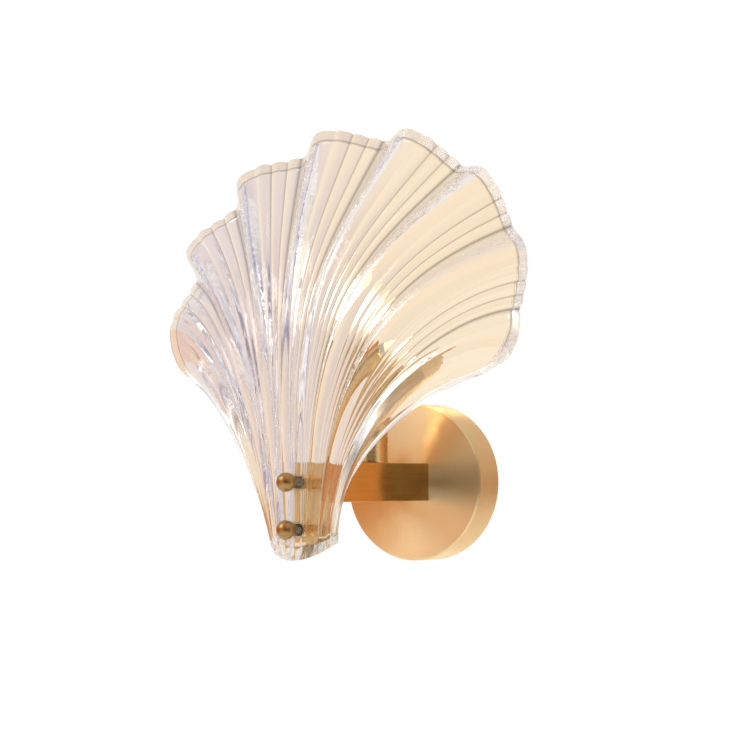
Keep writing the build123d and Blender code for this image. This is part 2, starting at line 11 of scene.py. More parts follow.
import bpy
import numpy as np
from bpy.types import ID, Material, Node, NodeSocket as Socket, NodeTree, Object
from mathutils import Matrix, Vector


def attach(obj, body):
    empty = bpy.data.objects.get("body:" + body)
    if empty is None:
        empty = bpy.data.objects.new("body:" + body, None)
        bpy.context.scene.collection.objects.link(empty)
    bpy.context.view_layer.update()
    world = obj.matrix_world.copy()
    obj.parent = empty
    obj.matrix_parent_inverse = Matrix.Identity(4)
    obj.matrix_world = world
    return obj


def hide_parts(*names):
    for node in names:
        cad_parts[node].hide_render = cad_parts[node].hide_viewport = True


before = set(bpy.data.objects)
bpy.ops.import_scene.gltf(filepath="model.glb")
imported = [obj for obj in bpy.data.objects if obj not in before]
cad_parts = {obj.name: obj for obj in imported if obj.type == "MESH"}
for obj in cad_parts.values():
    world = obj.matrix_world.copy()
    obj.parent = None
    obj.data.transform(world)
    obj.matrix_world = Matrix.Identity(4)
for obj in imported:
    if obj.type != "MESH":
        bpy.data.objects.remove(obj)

logging.basicConfig(level=logging.INFO, format="%(message)s")
LOG = logging.getLogger("sconce")
MM = 0.001
Colour = tuple[float, float, float]
Point = tuple[float, float, float]
Pair = tuple[float, float]
Row = tuple[float, ...]
Array = np.ndarray


class Grain(Enum):
    """The way a brass surface was brushed."""

    ROUND_Y = "in rings about the wall axis"
    ROUND_Z = "in rings about the lamp axis"
    ALONG_Y = "in straight lines away from the wall"
    ALONG_Z = "in upright lines"


# ----node tree helpers
def rgba(value: object) -> object:
    """Gives a plain colour its alpha and leaves a socket as it is."""
    return (*value, 1.0) if isinstance(value, tuple) and len(value) == 3 else value


class Tree:
    """A node tree with short ways to add nodes, set sockets and link them."""

    def __init__(self, tree: NodeTree) -> None:
        """Keeps the tree that the nodes go into."""
        self.tree = tree

    def fill(self, node: Node, values: dict) -> None:
        """Sets a node's inputs to constants, or links output sockets to them."""
        for key, value in values.items():
            socket = node.inputs[key]
            if isinstance(value, Socket):
                self.tree.links.new(value, socket)
            else:
                socket.default_value = value

    def add(self, kind: str, values: dict | None = None, **props: object) -> Node:
        """Adds a node.

        Args:
            kind: Node type without its ShaderNode prefix.
            values: Socket name or number to a constant or to an output socket.
            props: Node properties.

        Returns:
            The new node.
        """
        node = self.tree.nodes.new("ShaderNode" + kind)
        for name, value in props.items():
            setattr(node, name, value)
        self.fill(node, values or {})
        return node

    def math(self, operation: str, *terms: object) -> Socket:
        """Adds a Math node of that operation on the terms and returns its value."""
        return self.add("Math", dict(enumerate(terms)), operation=operation).outputs[0]

    def mix(self, share: object, first: object, second: object) -> Socket:
        """Mixes two colours by a share and returns the colour."""
        values = {0: share, 6: rgba(first), 7: rgba(second)}
        return self.add("Mix", values, data_type="RGBA").outputs[2]

    def ramp(self, value: object, low: float, high: float) -> Socket:
        """Maps a value from low..high to 0..1 in an S shape, held at both ends."""
        values = {0: value, 1: low, 2: high, 3: 0.0, 4: 1.0}
        return self.add("MapRange", values, interpolation_type="SMOOTHSTEP").outputs[0]

    def noise(self, vector: Socket, scale: object, detail: float, **more: float) -> Socket:
        """Noise of that scale and detail on a vector, about 0 to 1."""
        values = {"Vector": vector, "Scale": scale, "Detail": detail, **more}
        return self.add("TexNoise", values).outputs["Fac"]

    def bump(self, height: object, distance: float) -> Socket:
        """A normal from a height in units of the distance."""
        values = {"Height": height, "Distance": distance, "Strength": 1.0}
        return self.add("Bump", values).outputs[0]

    def point(self) -> Socket:
        """The surface point in the model's own frame."""
        return self.add("TexCoord").outputs["Object"]

    def scaled_point(self, scale: Point) -> Socket:
        """The surface point with each coordinate scaled, which draws noise out along one."""
        values = {0: self.point(), 1: scale}
        return self.add("VectorMath", values, operation="MULTIPLY").outputs[0]

    def xyz(self) -> list[Socket]:
        """The three coordinates of the surface point."""
        return list(self.add("SeparateXYZ", {0: self.point()}).outputs)

    def seen(self) -> Socket:
        """1 for what the camera, gloss or glass sees, and 0 for what lights other things."""
        path = self.add("LightPath").outputs
        seen = self.math("MAXIMUM", path["Is Camera Ray"], path["Is Glossy Ray"])
        return self.math("MAXIMUM", seen, path["Is Transmission Ray"])


def new_group(
    name: str, inputs: dict[str, tuple[str, object]], outputs: tuple[str, ...]
) -> tuple[Tree, object, Node]:
    """Starts a shader node group with named sockets.

    Args:
        name: Name of the group.
        inputs: Socket name to its type and default.
        outputs: Names of the values that it gives.

    Returns:
        The group's tree, the outputs of its input node, and its output node.
    """
    group = bpy.data.node_groups.new(name, "ShaderNodeTree")
    for label, (kind, default) in inputs.items():
        socket = group.interface.new_socket(label, in_out="INPUT", socket_type="NodeSocket" + kind)
        if default is not None:
            socket.default_value = default
    for label in outputs:
        group.interface.new_socket(label, in_out="OUTPUT", socket_type="NodeSocketFloat")
    inner, outer = group.nodes.new("NodeGroupInput"), group.nodes.new("NodeGroupOutput")
    return Tree(group), inner.outputs, outer


class Effects:
    """Shared node groups: brushing, age and ripples, each built once."""

    FINE_LINES = 2600.0
    BROAD_LINES = 900.0
    SPECKS = 900.0
    CLOUD_EDGES = (0.35, 0.65)
    SPECK_EDGES = (0.62, 0.75)

    def __init__(self) -> None:
        """Builds the three groups."""
        self.brushing = self._brushing()
        self.age = self._age()
        self.ripple = self._ripple()

    def _brushing(self) -> NodeTree:
        """Fine and broad lines: noise on a coordinate that is short along the brushing."""
        inputs = {"Vector": ("Vector", None)}
        tree, inner, outer = new_group("brush_lines", inputs, ("Shade", "Height"))
        fine = tree.noise(inner["Vector"], self.FINE_LINES, 2.0, Roughness=0.6)
        broad = tree.noise(inner["Vector"], self.BROAD_LINES, 3.0, Roughness=0.55)
        shade = tree.math("MULTIPLY", tree.math("ADD", fine, broad), 0.5)
        tree.fill(outer, {"Shade": shade, "Height": fine})
        return tree.tree

    def _age(self) -> NodeTree:
        """Slow clouding of a finish and small darker specks, from two noises."""
        inputs = {"Vector": ("Vector", None), "Size": ("Float", 60.0)}
        tree, inner, outer = new_group("age_clouds", inputs, ("Cloud", "Speck"))
        cloud = tree.noise(inner["Vector"], inner["Size"], 3.0)
        speck = tree.noise(inner["Vector"], self.SPECKS, 2.0)
        cloud, speck = tree.ramp(cloud, *self.CLOUD_EDGES), tree.ramp(speck, *self.SPECK_EDGES)
        tree.fill(outer, {"Cloud": cloud, "Speck": speck})
        return tree.tree

    @staticmethod
    def _ripple() -> NodeTree:
        """Waves that a mould leaves on cast glass: one warped noise, as a height."""
        inputs = {"Vector": ("Vector", None), "Size": ("Float", 120.0)}
        tree, inner, outer = new_group("cast_ripple", inputs, ("Height",))
        waves = tree.noise(inner["Vector"], inner["Size"], 2.0, Distortion=0.6)
        tree.fill(outer, {"Height": waves})
        return tree.tree


# ----finishes
def blank(name: str) -> tuple[Material, Tree, Node]:
    """Starts a material.

    Args:
        name: Name of the material.

    Returns:
        The material, its node tree and its Principled shader.
    """
    material = bpy.data.materials.new(name)
    material.use_nodes = True
    tree = Tree(material.node_tree)
    return material, tree, material.node_tree.nodes["Principled BSDF"]


class Finish:
    """What a piece is made of: each kind says what feeds the sockets of its shader."""

    name: str

    def sockets(self, tree: Tree, effects: Effects) -> dict:
        """Adds the finish's nodes and returns what goes into each socket."""
        raise NotImplementedError

    def build(self, effects: Effects) -> Material:
        """Builds the material.

        Args:
            effects: The shared node groups.

        Returns:
            The material.
        """
        material, tree, shader = blank(self.name)
        tree.fill(shader, self.sockets(tree, effects))
        return material


@dataclass(frozen=True)
class Brass(Finish):
    """Brushed or polished brass.

    Brushed lines turn it towards its dark colour by contrast, and clouds of age by clouding. The
    lines spread its roughness, and depth is their height in metres. ring_share and line_share
    are how little the brushing changes along its own lines.
    """

    name: str
    colour: Colour
    dark: Colour
    roughness: float
    grain: Grain
    anisotropy: float = 0.0
    depth: float = 0.00002
    axis_out: float = 0.0
    contrast: float = 0.22
    clouding: float = 0.18
    spread: float = 0.10
    ring_share: float = 0.0004
    line_share: float = 0.015
    line_edges: Pair = (0.38, 0.62)
    quarter_turn: float = 0.25

    def _along(self, tree: Tree) -> Socket:
        """A coordinate that is short along the grain: rings use radius and a little angle."""
        if self.grain in (Grain.ROUND_Y, Grain.ROUND_Z):
            x, y, z = tree.xyz()
            across, axis = z, y
            if self.grain is Grain.ROUND_Z:
                across, axis = tree.math("ADD", y, self.axis_out), z
            squares = [tree.math("MULTIPLY", side, side) for side in (x, across)]
            radius = tree.math("SQRT", tree.math("ADD", *squares))
            angle = tree.math("MULTIPLY", tree.math("ARCTAN2", across, x), self.ring_share)
            return tree.add("CombineXYZ", {0: radius, 1: angle, 2: axis}).outputs[0]
        if self.grain is Grain.ALONG_Y:
            return tree.scaled_point((1.0, self.line_share, 1.0))
        return tree.scaled_point((1.0, 1.0, self.line_share))

    def sockets(self, tree: Tree, effects: Effects) -> dict:
        """Brushed colour, roughness and lines, with rings of gloss where it is anisotropic."""
        lines = tree.add("Group", {"Vector": self._along(tree)}, node_tree=effects.brushing)
        age = tree.add("Group", {"Vector": tree.point()}, node_tree=effects.age)
        shade = tree.ramp(lines.outputs["Shade"], *self.line_edges)
        worn = tree.math("MULTIPLY", tree.math("SUBTRACT", 1.0, shade), self.contrast)
        colour = tree.mix(worn, self.colour, self.dark)
        cloud = tree.math("MULTIPLY", age.outputs["Cloud"], self.clouding)
        spread = tree.math("MULTIPLY", shade, self.spread)
        sockets = {
            "Base Color": tree.mix(cloud, colour, self.dark),
            "Roughness": tree.math("ADD", spread, self.roughness - self.spread / 2),
            "Normal": tree.bump(lines.outputs["Height"], self.depth),
            "Metallic": 1.0,
        }
        if self.anisotropy:
            axis = "Y" if self.grain is Grain.ROUND_Y else "Z"
            tangent = tree.add("Tangent", direction_type="RADIAL", axis=axis)
            sockets["Anisotropic"] = self.anisotropy
            sockets["Anisotropic Rotation"] = self.quarter_turn
            sockets["Tangent"] = tangent.outputs[0]
        return sockets


@dataclass(frozen=True)
class Plain(Finish):
    """Ceramic, plastic, rubber or plated steel with clouding and specks."""

    name: str
    colour: Colour
    dark: Colour
    roughness: float
    metallic: float = 0.0
    coat: float = 0.0
    clear: float = 0.0
    depth: float = 0.00001
    cloud_size: float = 140.0
    clouding: float = 0.4
    specking: float = 0.3
    spread: float = 0.08

    def sockets(self, tree: Tree, effects: Effects) -> dict:
        """Clouded and specked colour, with roughness that follows the clouds."""
        values = {"Vector": tree.point(), "Size": self.cloud_size}
        age = tree.add("Group", values, node_tree=effects.age).outputs
        cloud = tree.math("MULTIPLY", age["Cloud"], self.clouding)
        colour = tree.mix(cloud, self.colour, self.dark)
        speck = tree.math("MULTIPLY", age["Speck"], self.specking)
        spread = tree.math("MULTIPLY", age["Cloud"], self.spread)
        return {
            "Base Color": tree.mix(speck, colour, self.dark),
            "Roughness": tree.math("ADD", spread, self.roughness),
            "Normal": tree.bump(age["Speck"], self.depth),
            "Metallic": self.metallic,
            "Coat Weight": self.coat,
            "Transmission Weight": self.clear,
        }


@dataclass(frozen=True)
class CastGlass(Finish):
    """Clear cast glass, with a painted cream lamp glow on the lamp's side and greyer away from it.

    Each layer is a mask of the shell with the share and the colour that it lays over what comes
    before it: a cream tint on the rim, a painted lilac-grey reflection on the steep flute walls,
    and painted dark shade lines in the reed valleys, the notches and along the edge's back corner.
    Ripples are deepest on the flutes' steep walls, and the ends are ground.
    """

    name: str = "cast_glass"
    # Painted lamp glow: the glass turns from its greyer colour to cream towards the lamp's side.
    painted_lamp_glow: Colour = (0.990, 0.960, 0.905)
    cool: Colour = (0.965, 0.945, 0.940)
    painted_glow_edges: Pair = (-0.07, 0.03)
    # The rim gets a cream tint; wall is a painted lilac-grey reflection; valley, notch and corner
    # are painted dark shade lines.
    tints_and_painted_light: tuple[tuple[str, float, Colour], ...] = (
        ("rim", 0.8, (1.000, 0.960, 0.880)),
        ("wall", 0.8, (0.700, 0.670, 0.760)),
        ("valley", 0.8, (0.200, 0.130, 0.070)),
        ("notch", 0.9, (0.070, 0.045, 0.025)),
        ("corner", 0.9, (0.050, 0.032, 0.018)),
    )
    roughness: float = 0.03
    end_roughness: float = 0.22
    index: float = 1.5
    ripple_size: float = 140.0
    ripple_depth: float = 0.0009
    wall_ripple: float = 1.5
    other_ripple: float = 0.06

    def sockets(self, tree: Tree, effects: Effects) -> dict:
        """Clear glass with painted lamp glow, painted reflection and painted shade lines, rippled
        and ground by the shell's masks.
        """
        names = ["end"] + [name for name, _, _ in self.tints_and_painted_light]
        mask = {name: tree.add("Attribute", attribute_name=name).outputs["Fac"] for name in names}
        # Painted lamp glow: share of cream by X, towards the lamp's side.
        side = tree.ramp(tree.xyz()[0], *self.painted_glow_edges)
        colour = tree.mix(side, self.cool, self.painted_lamp_glow)
        # Rim tint, then painted reflection on the walls and painted shade lines in valleys,
        # notches and the back corner.
        for name, share, layer_colour in self.tints_and_painted_light:
            colour = tree.mix(tree.math("MULTIPLY", mask[name], share), colour, layer_colour)
        values = {"Vector": tree.point(), "Size": self.ripple_size}
        waves = tree.add("Group", values, node_tree=effects.ripple).outputs["Height"]
        strong = tree.math("MULTIPLY", mask["wall"], self.wall_ripple)
        height = tree.math("MULTIPLY", waves, tree.math("ADD", strong, self.other_ripple))
        ground = tree.math("MULTIPLY", mask["end"], self.end_roughness)
        return {
            "Base Color": colour,
            "Normal": tree.bump(height, self.ripple_depth),
            "Roughness": tree.math("ADD", ground, self.roughness),
            "Transmission Weight": 1.0,
            "IOR": self.index,
        }


@dataclass(frozen=True)
class LampGlow(Finish):
    """The lit lamp: it shines most round its filament and is dim amber at its ends."""

    name: str
    colour: Colour
    strength: float
    centre_height: float
    core: float = 0.002
    reach: float = 0.019
    fall: float = 5.0
    ends: Colour = (0.0078, 0.0044, 0.0017)
    unlit: Colour = (0.97, 0.95, 0.90)
    unlit_dark: Colour = (0.90, 0.87, 0.80)
    cloud_size: float = 200.0
    roughness: float = 0.2

    def sockets(self, tree: Tree, effects: Effects) -> dict:
        """Light that falls off with the height above or below the filament."""
        values = {"Vector": tree.point(), "Size": self.cloud_size}
        age = tree.add("Group", values, node_tree=effects.age).outputs
        away = tree.math("SUBTRACT", tree.xyz()[2], self.centre_height)
        away = tree.ramp(tree.math("ABSOLUTE", away), self.core, self.reach)
        near = tree.math("POWER", tree.math("SUBTRACT", 1.0, away), self.fall)
        return {
            "Emission Color": tree.mix(near, self.ends, self.colour),
            "Emission Strength": self.strength,
            "Base Color": tree.mix(age["Cloud"], self.unlit, self.unlit_dark),
            "Roughness": self.roughness,
        }


# ----pieces
def dress(names: list[str], material: Material) -> None:
    """Puts one material on CAD nodes, leaving their meshes alone."""
    for name in names:
        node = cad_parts[name]
        node.data.materials.clear()
        node.data.materials.append(material)
        LOG.info("%s dressed as %s", name, material.name)


def new_object(name: str, data: ID) -> Object:
    """Makes an object at the model's origin and puts it in the scene."""
    thing = bpy.data.objects.new(name, data)
    bpy.context.scene.collection.objects.link(thing)
    return thing


def mesh_object(name: str, points: list, faces: list, smooth: bool = False) -> Object:
    """Makes an object with its place in its mesh.

    Args:
        name: Name of the object and of its mesh.
        points: Points in metres.
        faces: Lists of point numbers.
        smooth: Whether the faces are shaded smooth.

    Returns:
        The new object.
    """
    mesh = bpy.data.meshes.new(name)
    mesh.from_pydata(points, [], faces)
    if smooth:
        mesh.polygons.foreach_set("use_smooth", np.ones(len(faces), dtype=bool))
    mesh.update()
    return new_object(name, mesh)


def ease(x: Array) -> Array:
    """An S-shaped step from 0 to 1 that starts and ends level: 3x^2 - 2x^3."""
    return x * x * (3.0 - 2.0 * x)


def grid_faces(rows: int, columns: int, wrap: bool = False) -> Array:
    """Quads of a grid whose point (row, column) is number row * columns + column.

    Args:
        rows: Number of rows.
        columns: Number of columns.
        wrap: Whether the last column joins the first.

    Returns:
        (m, 4) array of point numbers.
    """
    last = columns if wrap else columns - 1
    row, column = np.meshgrid(np.arange(rows - 1), np.arange(last), indexing="ij")
    here, after = row * columns, (column + 1) % columns
    quads = [here + column, here + after, here + columns + after, here + columns + column]
    return np.stack(quads, axis=-1).reshape(-1, 4)


# ----glass shell
@dataclass
class Columns:
    """The shell's columns, from its left edge to its right edge, one row of each array per column.

    fans holds the fan position at each of a rib's four poles. height, reed and bulge are shares
    of those lifts, and wall, valley and notch are masks, on which the glass paints a reflection
    and dark shade lines. side is -1 or 1 on an edge column, which is moved inwards by inset
    millimetres, and swell is its share of the glass's thickness.
    """

    fans: Array
    height: Array
    reed: Array
    bulge: Array
    wall: Array
    valley: Array
    notch: Array
    side: Array
    inset: Array
    swell: Array

    @classmethod
    def plain(cls, fans: Array, height: Array) -> "Columns":
        """Columns of full thickness without reeds, bulges, masks or an edge."""
        none = np.zeros_like(height)
        return cls(fans, height, *[none] * 7, none + 1.0)


@dataclass
class GlassShell:
    """The cast shell: a fan of stepped flutes with fine reeds and a slanted, eased rim.

    A rib is a cubic Bezier curve from the foot of the stem to the rim, at a fan position from
    -1 at the left edge to 1 at the right edge. Sizes are millimetres, angles are degrees, and a
    row of four is one value for each pole of a rib, from foot to rim.
    """

    # The plain shell. A pair is a value at the middle rib and its loss at the edges.
    thickness: float = 7.5
    rim_half_width: float = 128.0
    rim_half_height: float = 106.0
    rim_centre: float = 110.5
    rim_sweep: float = 117.0
    rim_out: float = 86.5
    rim_forward: float = 23.5
    stem_half_width: float = 24.0
    stem_sweep: float = 50.0
    stem_bottom: float = -47.0
    stem_out: float = 155.4
    stem_setback: float = 14.0
    lower_rise: Pair = (0.61, 0.11)
    lower_lean: float = 8.4
    lower_out: float = 162.0
    upper_rise: Pair = (0.37, 0.28)
    upper_lean: float = 109.0
    upper_out: Pair = (150.4, 38.5)
    normal_leans: Row = (0.8, 0.5, 0.35, 1.0)

    # Flutes: the shares of a flute's width where its wall and its band end, and its lifts.
    left_flutes: int = 4
    right_flutes: int = 3
    pitch: float = 0.249
    phase: float = 0.067
    walls: Row = (0.12, 0.15, 0.20, 0.36)
    bands: Row = (0.75, 0.66, 0.57, 0.53)
    band_fall: float = 0.34
    fall_power: float = 1.15
    first_edge: float = 0.1
    last_fall: float = 0.55
    front_steps: Row = (0.2, 2.0, 3.2, 6.5)
    back_steps: Row = (0.0, 0.4, 2.4, 6.5)
    reeds: int = 3
    reed_power: float = 0.8
    reed_rises: Row = (0.0, 0.4, 1.5, 1.7)
    bulges: Row = (0.7, 1.4, 0.9, 0.0)

    # The bead behind both side edges, and the slants, roundings and margins of all edges.
    bead_depths: Row = (3.0, 8.0, 7.0, 0.0)
    bead_starts: Pair = (-0.87, 0.82)
    bead_slope: float = 0.65
    side_slants: Row = (0.11, 0.08, 0.03, 0.018)
    side_power: int = 6
    end_slants: Pair = (9.0, 4.5)
    end_power: int = 10
    corner_radius: float = 14.0
    edge_radius: float = 1.3
    edge_margins: Row = (0.075, 0.035, 0.018, 0.008)
    end_margin: float = 1.8

    # Masks, which carry the glass's painted reflection and painted shade lines. A fade is a mark
    # with a slope and a start, as marks die away towards the foot.
    rim_band: float = 7.5
    rim_fade: float = 1.5
    valley_slope: float = 4.0
    notch_widths: Pair = (0.16, 0.06)
    fades: tuple = (("wall", 2.5, 0.0), ("valley", 4.0, 0.6), ("notch", 8.0, 1.2))

    # Stud holes and their seats.
    stud_heights: Row = (0.0, -28.0)
    hole_radius: float = 3.25
    seat_radius: float = 5.3
    seat_front: float = 155.8
    seat_back: float = 149.6
    cut_front: float = 170.0
    cut_back: float = 130.0
    cut_sides: int = 48

    # How finely each part is divided.
    wall_samples: int = 14
    band_samples: int = 10
    reed_samples: int = 9
    side_samples: int = 12
    sample_power: float = 1.7
    rib_samples: int = 92
    edge_samples: int = 8
    face_places: Row = (0.0, 0.5, 0.93)

    def _edge(self) -> tuple[Array, Array]:
        """Inset and share of the half thickness over an eased edge, from the flat end inwards.

        The end is flat, and a quarter circle of the edge radius leads from it to the front.
        """
        half = self.thickness / 2
        flat = 1.0 - self.edge_radius / half
        turn = np.linspace(math.pi / 2, 0.0, self.edge_samples)
        inset = self.edge_radius * (1.0 - np.sin(turn))
        share = 1.0 - self.edge_radius * (1.0 - np.cos(turn)) / half
        face = flat * np.array(self.face_places)
        return np.concatenate([face * 0.0, inset]), np.concatenate([face, share])

    def _heights(self, rise: Array, fall: Array) -> Array:
        """Flute height: an S-shaped rise from -1 to 1, then a slow fall that levels in the notch.

        The fall's share is raised to a power first, so that the crest is rounder than the notch.
        """
        rise, fall = np.clip(rise, 0.0, 1.0), np.clip(fall, 0.0, 1.0)
        return -1.0 + 2.0 * ease(rise) - 2.0 * ease(fall**self.fall_power)

    def _flutes(self) -> Columns:
        """Columns of every whole flute, from the first crest to the last.

        part runs over a flute: 0 to 1 on its wall, to 2 on its wide band and to 3 on its reeds.
        """
        wall = np.linspace(0.0, 1.0, self.wall_samples, endpoint=False)
        band = np.linspace(0.0, 1.0, self.band_samples, endpoint=False)
        reed = np.linspace(0.0, 1.0, self.reeds * self.reed_samples, endpoint=False)
        part = np.concatenate([wall, 1.0 + band, 2.0 + reed])
        flutes = np.arange(-self.left_flutes, self.right_flutes + 1)
        flute, part = np.repeat(flutes, len(part)), np.tile(part, len(flutes))
        keep = ((flute > flutes[0]) | (part >= 1.0)) & ((flute < flutes[-1]) | (part <= 1.0))
        flute, part = flute[keep], part[keep]
        knots = np.stack([np.zeros(4), self.walls, self.bands, np.ones(4)])
        share = [np.interp(part, np.arange(4), knots[:, pole]) for pole in range(4)]
        fans = self.phase + self.pitch * (flute[:, None] + np.stack(share, axis=-1))
        fall = np.interp(part, [1.0, 2.0, 3.0], [0.0, self.band_fall, 1.0])
        place = (np.clip(part - 2.0, 0.0, None) * self.reeds) % 1.0
        arch = np.where(part > 2.0, np.abs(np.sin(math.pi * place)), 0.0)
        within = np.clip(part - 1.0, 0.0, 1.0)
        on_wall = (part < 1.0) & (flute < flutes[-1])
        after, before = self.notch_widths
        to_notch = np.minimum(part / after, (3.0 - part) / before)
        return replace(
            Columns.plain(fans, self._heights(part, fall)),
            reed=arch**self.reed_power,
            bulge=np.where((part > 1.0) & (part < 2.0), 1.0 - (2.0 * within - 1.0) ** 2, 0.0),
            wall=np.where(on_wall, np.sin(math.pi * np.clip(part, 0.0, 1.0)), 0.0),
            valley=np.where(part > 2.0, np.clip(1.0 - self.valley_slope * arch, 0.0, 1.0), 0.0),
            notch=np.clip(1.0 - to_notch, 0.0, 1.0),
        )

    def _side(self, sign: int, crest: Array) -> Columns:
        """Columns round an edge and in from it to a crest, closest together near the edge.

        On the left the glass rises to the first crest by a quarter sine, and on the right it
        comes up as a flute does over its wide band.
        """
        even = np.linspace(0.0, 1.0, self.side_samples, endpoint=False) ** self.sample_power
        edge_fan = sign * (1.0 - np.array(self.edge_margins))
        fans = edge_fan + (crest - edge_fan) * even[:, None]
        inset, swell = self._edge()
        fans = np.concatenate([np.full((len(inset), 4), float(sign)), fans])
        inwards = np.concatenate([inset * 0.0, even])
        if sign < 0:
            crown = np.sin(inwards * math.pi / 2)
            height = self.first_edge + (1.0 - self.first_edge) * crown
        else:
            height = self._heights(np.ones_like(inwards), self.last_fall * (1.0 - inwards))
        return replace(
            Columns.plain(fans, height),
            side=np.concatenate([inset * 0.0 + sign, even * 0.0]),
            inset=np.concatenate([inset, even * 0.0]),
            swell=np.concatenate([swell, even * 0.0 + 1.0]),
        )

    def columns(self) -> Columns:
        """All columns from the left edge to the right edge."""
        flutes = self._flutes()
        left, right = self._side(-1, flutes.fans[0]), self._side(1, flutes.fans[-1])
        joined = {}
        for name in (entry.name for entry in fields(Columns)):
            rows = [getattr(left, name), getattr(flutes, name), getattr(right, name)[::-1]]
            joined[name] = np.concatenate(rows)
        return Columns(**joined)

    def _poles(self, fans: Array) -> tuple[Array, Array]:
        """Four poles of each plain rib and a unit normal at each pole.

        The rim is an ellipse parallel to the wall whose sides come forward, the foot is a shallow
        arc, and the two middle poles set how upright a rib starts and how far it turns out. Each
        pole is worked out at its own fan position.
        """
        each = [self._plain_poles(fans[:, pole]) for pole in range(4)]
        poles = np.stack([each[pole][0][:, pole] for pole in range(4)], axis=1)
        normals = np.stack([each[pole][1][:, pole] for pole in range(4)], axis=1)
        return poles, normals

    def _plain_poles(self, fan: Array) -> tuple[Array, Array]:
        """Poles and normals of the ribs at these fan positions."""
        turn = np.radians(self.rim_sweep) * fan
        rim = np.stack([
            self.rim_half_width * np.sin(turn),
            -(self.rim_out + self.rim_forward * fan**2),
            self.rim_centre + self.rim_half_height * np.cos(turn),
        ], axis=-1)
        sweep = math.radians(self.stem_sweep)
        radius = self.stem_half_width / math.sin(sweep)
        foot = np.stack([
            radius * np.sin(sweep * fan),
            -(self.stem_out - self.stem_setback * fan**2),
            self.stem_bottom + radius * (1.0 - np.cos(sweep * fan)),
        ], axis=-1)
        reach = np.hypot(rim[:, 0] - foot[:, 0], rim[:, 2] - foot[:, 2])
        rise = reach * (self.lower_rise[0] - self.lower_rise[1] * fan**2)
        lean = np.radians(self.lower_lean) * fan
        lower = np.stack([
            foot[:, 0] + rise * np.sin(lean),
            np.full_like(fan, -self.lower_out),
            foot[:, 2] + rise * np.cos(lean),
        ], axis=-1)
        rise = reach * (self.upper_rise[0] - self.upper_rise[1] * fan**2)
        lean = np.radians(self.upper_lean) * fan
        upper = np.stack([
            rim[:, 0] - rise * np.sin(lean),
            -(self.upper_out[0] - self.upper_out[1] * fan**2),
            rim[:, 2] - rise * np.cos(lean),
        ], axis=-1)
        zero = np.zeros_like(fan)
        across = (fan, fan, np.sin(turn), np.sin(turn))
        upwards = (zero, zero, np.cos(turn), np.cos(turn))
        normals = [
            np.stack([share * x, zero - 1.0, share * z], axis=-1)
            for share, x, z in zip(self.normal_leans, across, upwards)
        ]
        normals = [each / np.linalg.norm(each, axis=-1, keepdims=True) for each in normals]
        return np.stack([foot, lower, upper, rim], axis=1), np.stack(normals, axis=1)

    @staticmethod
    def _along_ribs(poles: Array, place: Array) -> Array:
        """Points of cubic Bezier curves: (columns, 4, 3) poles at (columns, rows) places."""
        left = 1 - place
        weight = [left**3, 3 * place * left**2, 3 * place**2 * left, place**3]
        return np.einsum("crp,cpk->crk", np.stack(weight, axis=-1), poles)

    @staticmethod
    def _end_speeds(poles: Array) -> tuple[Array, Array]:
        """Millimetres per share of each rib at its foot and its rim: three times a pole step."""
        foot = 3.0 * np.linalg.norm(poles[:, 1] - poles[:, 0], axis=-1)
        return foot, 3.0 * np.linalg.norm(poles[:, 3] - poles[:, 2], axis=-1)

    def _corner_trim(self, poles: Array, column: Columns) -> Array:
        """Share of each rib that is kept, so that the rim and the side edges meet in an arc.

        A rib x from the side edge loses R - sqrt(R^2 - (R - x)^2) of its length. Near its end a
        rib runs v s + a s^2 / 2 in a share s, where v and a are the curve's end speed and its
        change, and s is solved from that.
        """
        radius, speed = self.corner_radius, self._end_speeds(poles)[1]
        inwards = (1.0 - np.abs(column.fans[:, 3])) * math.radians(self.rim_sweep)
        x = np.clip(column.inset + inwards * self.rim_centre, 0.0, radius)
        lost = radius - np.sqrt(radius**2 - (radius - x) ** 2)
        bend = poles[:, 3] - 2.0 * poles[:, 2] + poles[:, 1]
        change = 6.0 * np.linalg.norm(bend, axis=-1)
        return 1.0 - 2.0 * lost / (speed + np.sqrt(speed**2 + 2.0 * change * lost))

    def _rows(self, poles: Array, column: Columns) -> tuple[Array, ...]:
        """Rows of points from foot to rim: place along each rib, end, inset and swell.

        Between its eased ends a rib is divided more finely towards each end, starting a fixed
        length from it. end is -1 on the rows of the foot's edge and 1 on those of the rim's.
        """
        inset, swell = self._edge()
        foot, rim = (self.end_margin / speed for speed in self._end_speeds(poles))
        even = np.linspace(0.0, 1.0, self.rib_samples)
        even -= 0.5 * np.sin(2 * math.pi * even) / (2 * math.pi)
        middle = foot[:, None] + (1.0 - foot - rim)[:, None] * even
        ends = np.zeros((len(poles), len(inset)))
        place = np.concatenate([ends, middle, ends + 1.0], axis=1)
        place = place * self._corner_trim(poles, column)[:, None]
        none = even * 0.0
        end = np.concatenate([inset * 0.0 - 1.0, none, inset * 0.0 + 1.0])
        inset = np.concatenate([inset, none, inset[::-1]])
        return place, end, inset, np.concatenate([swell, none + 1.0, swell[::-1]])

    def _back(self, column: Columns, place: Array) -> Array:
        """Back face: the plain shell with flutes and beads, slanted in at its ends and sides."""
        left, right = self.bead_starts
        fan = column.fans[:, 1]
        into = np.where(fan > 0, (fan - right) / (1 - right), (left - fan) / (1 + left))
        bead = ease(np.clip(into / self.bead_slope, 0.0, 1.0))
        lift = np.outer(column.height, self.back_steps) - self.thickness
        lift -= np.outer(bead, self.bead_depths)
        edge = np.sign(column.fans) * np.abs(column.fans) ** self.side_power
        poles, normals = self._poles(column.fans - np.array(self.side_slants) * edge)
        foot, rim = (speed[:, None] for speed in self._end_speeds(poles))
        inner = place + self.end_slants[0] * (1.0 - place) ** self.end_power / foot
        inner = inner - self.end_slants[1] * place**self.end_power / rim
        return self._along_ribs(poles + normals * lift[..., None], inner)

